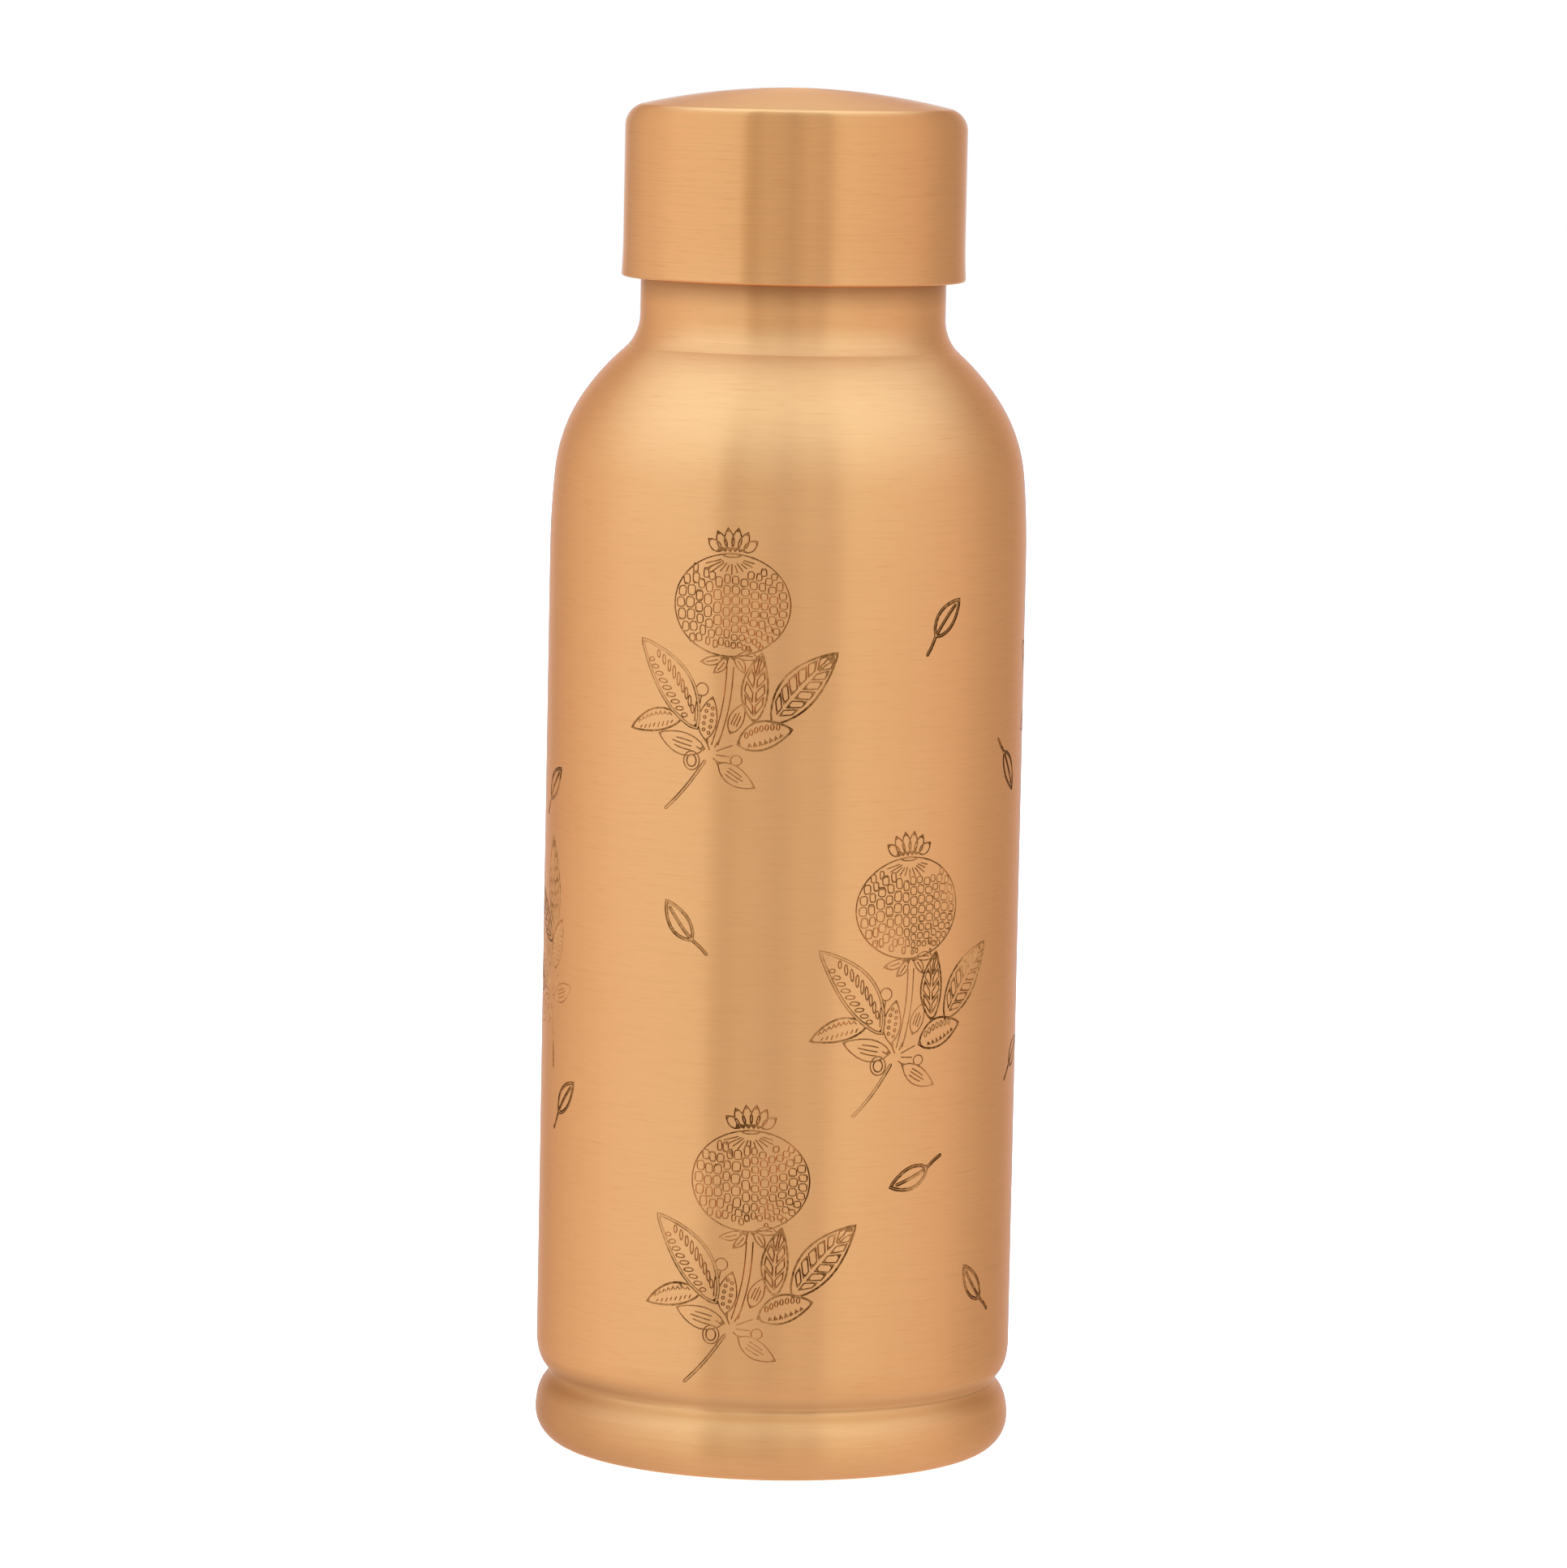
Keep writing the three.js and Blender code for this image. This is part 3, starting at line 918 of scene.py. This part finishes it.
# -------- materials
class Nodes:
    """Shorthand for one node tree."""

    def __init__(self, tree):
        self.tree = tree
        tree.nodes.clear()

    def add(self, kind, inputs=(), **settings):
        node = self.tree.nodes.new(kind)
        for name, value in settings.items():
            setattr(node, name, value)
        for socket, value in dict(inputs).items():
            if isinstance(value, bpy.types.NodeSocket):
                self.tree.links.new(value, node.inputs[socket])
            else:
                node.inputs[socket].default_value = value
        return node

    def ramp(self, value, low, high, to_low, to_high):
        return self.add("ShaderNodeMapRange", {
            "Value": value, "From Min": low, "From Max": high, "To Min": to_low, "To Max": to_high,
        }).outputs["Result"]

    def noise(self, vector, scale, detail=2.0, roughness=0.5):
        return self.add("ShaderNodeTexNoise", {
            "Vector": vector, "Scale": scale, "Detail": detail, "Roughness": roughness,
        }).outputs["Fac"]

    def mix(self, share, first, second, blend="MIX"):
        """Colours mixed; 0, 6, 7 and 2 are the colour mode's factor, A, B and result."""
        return self.add(
            "ShaderNodeMix", {0: share, 6: first, 7: second}, data_type="RGBA", blend_type=blend
        ).outputs[2]

    def math(self, operation, first, second):
        return self.add("ShaderNodeMath", {0: first, 1: second}, operation=operation).outputs[0]

    def times(self, first, second):
        return self.math("MULTIPLY", first, second)

    def place(self):
        return self.add("ShaderNodeTexCoord").outputs["Object"]

    def bump(self, height, strength, distance):
        inputs = {"Height": height, "Strength": strength, "Distance": distance}
        return self.add("ShaderNodeBump", inputs).outputs[0]

    def surface(self, inputs):
        shader = self.add("ShaderNodeBsdfPrincipled", inputs)
        self.add("ShaderNodeOutputMaterial", {"Surface": shader.outputs[0]})


def new_material(name):
    material = bpy.data.materials.new(name)
    material.use_nodes = True
    return material, Nodes(material.node_tree)


def stretched(nodes, around, along):
    """Object coordinates for streaks that run round the axis, by features per metre."""
    scale = (around, around, along)
    return nodes.add("ShaderNodeMapping", {"Vector": nodes.place(), "Scale": scale}).outputs[0]


def closeness(nodes, value, centre, reach):
    """1 where the value is at the centre, falling to 0 at the reach."""
    away = nodes.math("ABSOLUTE", nodes.math("SUBTRACT", value, centre), 0.0)
    return nodes.ramp(away, 0, reach, 1, 0)


# Heights where the outside's look changes; the bands by the groove are (middle, reach).
# Painted reflection: the groove's upper side is painted paler and less orange, in place of the
# white table it would reflect.
GROOVE_REFLECTION_BAND = (GROOVE_HEIGHT + 0.9 * MM, 1.6 * MM)
# Painted shade: a dark line along the groove's bottom.
CREASE_SHADE_BAND = (GROOVE_HEIGHT, 0.3 * MM)
# Painted shade: the groove's lower lip darkened, toning down its highlight.
LIP_SHADE_BAND = (GROOVE_HEIGHT - 1.2 * MM, 1.8 * MM)
# Painted shade: the foot darker on its left, below these heights.
FOOT_SHADE_HEIGHTS = (12.5 * MM, 14.5 * MM)
NECK_SHADE = (173.8 * MM, 176.8 * MM)
CAP_EDGE = 177.6 * MM
SCRATCHES_END = (200 * MM, 202.5 * MM)

# Linear colours. The last three multiply what is there.
COPPER, COPPER_CLOUD = (0.958, 0.478, 0.192, 1), (0.948, 0.465, 0.184, 1)
BRUSHED, SCRATCHED = (0.80, 0.405, 0.17, 1), (0.83, 0.36, 0.12, 1)
# The first is a painted reflection for the groove; the other two are painted shade for its bottom
# and its lip.
PAINTED_GROOVE_REFLECTION, PAINTED_CREASE_SHADE, PAINTED_LIP_SHADE = (0.90, 0.58, 0.28, 1), (0.44, 0.23, 0.09, 1), (0.78, 0.355, 0.125, 1)
SHADED, ETCHED = (0.45, 0.215, 0.09, 1), (0.13, 0.046, 0.011, 1)
# The first is painted shade for the foot's left.
PAINTED_FOOT_SHADE, CAP_TINT = (0.79, 0.75, 0.73, 1), (0.945, 0.946, 0.946, 1)
ETCH_TINT = (1.0, 0.82, 0.48, 1)


def brushed_copper():
    """Lacquered copper, brushed round the axis and darker where it is engraved. The cap is
    smoother. A painted reflection makes the groove's upper side paler, and painted shade
    darkens the groove's bottom and lip, the foot's left and the neck towards the cap."""
    material, nodes = new_material("brushed_copper")
    place = nodes.place()
    aside, _, up = nodes.add("ShaderNodeSeparateXYZ", {"Vector": place}).outputs
    fine = nodes.noise(stretched(nodes, 70, 9000), 1.0, 3.0, 0.6)
    broad = nodes.noise(stretched(nodes, 70, 3600), 1.0, 3.0, 0.6)
    cloud = nodes.noise(place, 28.0, 3.0, 0.55)
    tone = nodes.mix(nodes.ramp(cloud, 0.35, 0.65, 0, 1), COPPER, COPPER_CLOUD)
    tone = nodes.mix(nodes.ramp(broad, 0.50, 0.78, 0, 0.35), tone, BRUSHED)
    short = nodes.noise(stretched(nodes, 230, 5200), 1.0, 2.0, 0.5)
    scratched = nodes.times(
        nodes.ramp(short, 0.56, 0.72, 0, 0.35), nodes.ramp(up, *SCRATCHES_END, 1, 0)
    )
    tone = nodes.mix(scratched, tone, SCRATCHED)
    # Painted reflection: the groove's upper side paler and less orange, in place of the white
    # table.
    groove_reflection = nodes.times(closeness(nodes, up, *GROOVE_REFLECTION_BAND), 0.8)
    tone = nodes.mix(groove_reflection, tone, PAINTED_GROOVE_REFLECTION)
    # Painted shade along the groove's bottom, broken here and there.
    here_and_there = nodes.ramp(cloud, 0.42, 0.62, 0, 0.6)
    crease = nodes.times(closeness(nodes, up, *CREASE_SHADE_BAND), here_and_there)
    tone = nodes.mix(crease, tone, PAINTED_CREASE_SHADE)
    # Painted shade on the groove's lower lip, over its highlight.
    tone = nodes.mix(closeness(nodes, up, *LIP_SHADE_BAND), tone, PAINTED_LIP_SHADE)
    # Painted shade on the foot's left side.
    left_foot_shade = nodes.times(
        nodes.ramp(up, *FOOT_SHADE_HEIGHTS, 1, 0),
        nodes.ramp(aside, -28 * MM, -12 * MM, 1, 0),
    )
    tone = nodes.mix(left_foot_shade, tone, PAINTED_FOOT_SHADE, "MULTIPLY")
    below_cap = nodes.math("LESS_THAN", up, CAP_EDGE)
    shaded = nodes.times(nodes.ramp(up, *NECK_SHADE, 0, 0.6), below_cap)
    tone = nodes.mix(shaded, tone, SHADED)
    capped = nodes.math("GREATER_THAN", up, CAP_EDGE)
    tone = nodes.mix(capped, tone, CAP_TINT, "MULTIPLY")
    etch = nodes.add("ShaderNodeAttribute", attribute_name="etch").outputs["Fac"]
    patchy = nodes.ramp(nodes.noise(place, 130.0, 2.0, 0.5), 0.38, 0.60, 0.4, 1)
    broken = nodes.ramp(nodes.noise(place, 1500.0, 2.0, 0.6), 0.36, 0.58, 0.6, 1)
    dark = nodes.times(etch, nodes.times(patchy, broken))
    tone = nodes.mix(dark, tone, ETCH_TINT, "MULTIPLY")
    tone = nodes.mix(dark, tone, ETCHED)
    polished = nodes.times(capped, 0.095)
    gloss = nodes.math("SUBTRACT", nodes.ramp(fine, 0.3, 0.7, 0.285, 0.345), polished)
    gloss = nodes.math("ADD", gloss, nodes.times(dark, 0.2))
    height = nodes.math("ADD", fine, nodes.times(broad, 1.5))
    tangent = nodes.add("ShaderNodeTangent", direction_type="RADIAL", axis="Z")
    nodes.surface({
        "Base Color": tone, "Metallic": 1.0, "Roughness": gloss,
        "Normal": nodes.bump(height, 0.10, 0.04 * MM), "Tangent": tangent.outputs[0],
        "Anisotropic": 1.0, "Anisotropic Rotation": 0.25,
        "Specular Tint": (1.0, 0.80, 0.66, 1),
    })
    return material


def raw_copper():
    """Unpolished copper, inside the bottle and on the fittings."""
    material, nodes = new_material("raw_copper")
    place = nodes.place()
    cloud = nodes.noise(place, 90.0, 4.0, 0.6)
    rings = nodes.noise(stretched(nodes, 40, 3000), 1.0, 3.0, 0.6)
    dark = nodes.ramp(cloud, 0.35, 0.7, 0, 1)
    tone = nodes.mix(dark, (0.70, 0.33, 0.17, 1), (0.52, 0.22, 0.11, 1))
    gloss = nodes.ramp(rings, 0.3, 0.7, 0.36, 0.52)
    nodes.surface({
        "Base Color": tone, "Metallic": 1.0, "Roughness": gloss,
        "Normal": nodes.bump(rings, 0.15, 0.05 * MM),
    })
    return material


def milky_silicone():
    """The gasket's translucent rubber."""
    material, nodes = new_material("milky_silicone")
    place = nodes.place()
    cloud = nodes.noise(place, 160.0, 3.0, 0.5)
    tone = nodes.mix(cloud, (0.80, 0.78, 0.73, 1), (0.72, 0.69, 0.63, 1))
    nodes.surface({
        "Base Color": tone, "Roughness": nodes.ramp(cloud, 0.3, 0.7, 0.42, 0.55),
        "Normal": nodes.bump(cloud, 0.1, 0.05 * MM), "Subsurface Weight": 0.25,
        "Subsurface Scale": 1 * MM,
    })
    return material


def pale_floor():
    """A white sheet that glows a little, so that it meets the white without an edge."""
    material, nodes = new_material("pale_floor")
    place = nodes.place()
    tone = nodes.mix(nodes.noise(place, 3.0), (0.90, 0.90, 0.90, 1), (0.88, 0.88, 0.88, 1))
    nodes.surface({
        "Base Color": tone, "Roughness": 0.9,
        "Emission Color": (1, 1, 1, 1), "Emission Strength": 0.9,
    })
    return material


# -------- the set: floor, light, camera
CAMERA_DISTANCE = 1.2206  # from the bottle's axis, along the floor
CAMERA_ABOVE_FLOOR = 0.2347
CAMERA_PITCH = 6.25  # degrees down
CAMERA_ROLL = 1.15
CAMERA_LENS = 186
# The light tent's inside: degrees round from the front, to the right positive, and its light.
TENT = (
    (-180, 0.80, 0.78, 0.76), (-165, 0.70, 0.69, 0.70), (-150, 0.59, 0.58, 0.59),
    (-125, 0.76, 0.76, 0.79), (-90, 0.90, 0.90, 0.91), (-60, 0.88, 0.89, 0.88),
    (-38, 0.84, 0.84, 0.82), (-33, 0.63, 0.58, 0.49), (-28, 0.55, 0.50, 0.44),
    (-20, 0.64, 0.61, 0.54), (-8, 0.60, 0.56, 0.51), (-2, 0.53, 0.48, 0.44),
    (10, 0.66, 0.62, 0.55), (20, 0.61, 0.57, 0.54), (24, 0.66, 0.62, 0.57),
    (28, 0.80, 0.77, 0.72), (36, 0.84, 0.83, 0.79), (55, 0.81, 0.77, 0.73),
    (90, 0.73, 0.67, 0.65), (115, 0.57, 0.54, 0.54), (140, 0.51, 0.50, 0.53),
    (165, 0.66, 0.66, 0.71), (180, 0.80, 0.78, 0.76),
)
# Higher up the tent's sides are brighter and cooler, and they give way to its roof. Heights
# are the sine of the angle above the horizon.
TENT_LIFT = (1.28, 1.72, 2.30, 1)
LIFT_STARTS, LIFT_FULL = 0.05, 0.55
LIFT_BEHIND, LIFT_IN_FRONT = -0.7, 0.1
TENT_ROOF = (1.23, 1.65, 2.12, 1)
ROOF_STARTS, ROOF_FULL = 0.42, 0.98
# Lower down the white table gives its light.
TABLE_LIGHT = (0.79, 0.80, 0.87, 1)
TABLE_STARTS, TABLE_FULL = -0.1, -0.7


def world_light():
    """The tent round the bottle as it shines on it; the camera itself sees plain white."""
    world = bpy.data.worlds.new("light_tent")
    world.use_nodes = True
    nodes = Nodes(world.node_tree)
    way = nodes.add("ShaderNodeTexCoord").outputs["Generated"]
    parts = nodes.add("ShaderNodeSeparateXYZ", {"Vector": way}).outputs
    towards = nodes.times(parts["Y"], -1.0)
    turn = nodes.math("ARCTAN2", parts["X"], towards)
    ramp = nodes.add("ShaderNodeValToRGB", {"Fac": nodes.ramp(turn, -math.pi, math.pi, 0, 1)})
    stops = ramp.color_ramp.elements
    while len(stops) < len(TENT):
        stops.new(1)
    for stop, (degrees, *light) in zip(stops, TENT):
        stop.position = (degrees + 180) / 360
        stop.color = (*light, 1)
    lifted = nodes.times(
        nodes.ramp(parts["Z"], LIFT_STARTS, LIFT_FULL, 0, 1),
        nodes.ramp(towards, LIFT_BEHIND, LIFT_IN_FRONT, 0, 1),
    )
    lift = nodes.mix(lifted, (1, 1, 1, 1), TENT_LIFT)
    tone = nodes.mix(1.0, ramp.outputs["Color"], lift, "MULTIPLY")
    tone = nodes.mix(nodes.ramp(parts["Z"], ROOF_STARTS, ROOF_FULL, 0, 1), tone, TENT_ROOF)
    tone = nodes.mix(nodes.ramp(parts["Z"], TABLE_STARTS, TABLE_FULL, 0, 1), tone, TABLE_LIGHT)
    seen = nodes.add("ShaderNodeLightPath").outputs["Is Camera Ray"]
    tone = nodes.mix(seen, tone, (1.0, 1.0, 1.0, 1))
    back = nodes.add("ShaderNodeBackground", {"Color": tone, "Strength": 1.0})
    nodes.add("ShaderNodeOutputWorld", {"Surface": back.outputs[0]})
    bpy.context.scene.world = world


def floor_sheet():
    """The table, which the metal doesn't mirror: the tent's table light stands in for it."""
    bpy.ops.mesh.primitive_plane_add(size=6, location=(0, 0, 0))
    sheet = bpy.context.object
    sheet.name = "floor"
    sheet.data.materials.append(pale_floor())
    sheet.visible_glossy = False


def studio_camera():
    """The photograph's camera: a long lens, slightly above the bottle and rolled."""
    camera = bpy.data.objects.new("camera", bpy.data.cameras.new("camera"))
    camera.data.lens = CAMERA_LENS
    camera.data.clip_end = 100  # metres
    camera.location = (0, -CAMERA_DISTANCE, CAMERA_ABOVE_FLOOR)
    camera.rotation_euler = (math.radians(90 - CAMERA_PITCH), 0, 0)
    camera.rotation_euler.rotate_axis("Z", math.radians(CAMERA_ROLL))
    bpy.context.scene.collection.objects.link(camera)
    bpy.context.scene.camera = camera


studio_camera()
floor_sheet()
world_light()
bpy.context.scene.view_settings.view_transform = "Standard"

copper = brushed_copper()
plain_copper = raw_copper()
silicone = milky_silicone()

# Each piece, the CAD node that it stands for, the body that it moves with, and its slot.
PIECES = (
    (body_shell, "body_shell", "bottle", "copper"),
    (base_disc, "base_disc", "bottle", "plain_copper"),
    (neck_thread_ring, "neck_thread_ring", "bottle", "plain_copper"),
    (cap_shell, "cap_shell", "cap", "copper"),
    (cap_thread_liner, "cap_thread_liner", "cap", "plain_copper"),
    (sealing_gasket, "sealing_gasket", "seal", "silicone"),
)
for make, node, body, finish in PIECES:
    piece = make()
    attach(piece, body)
    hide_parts(node)
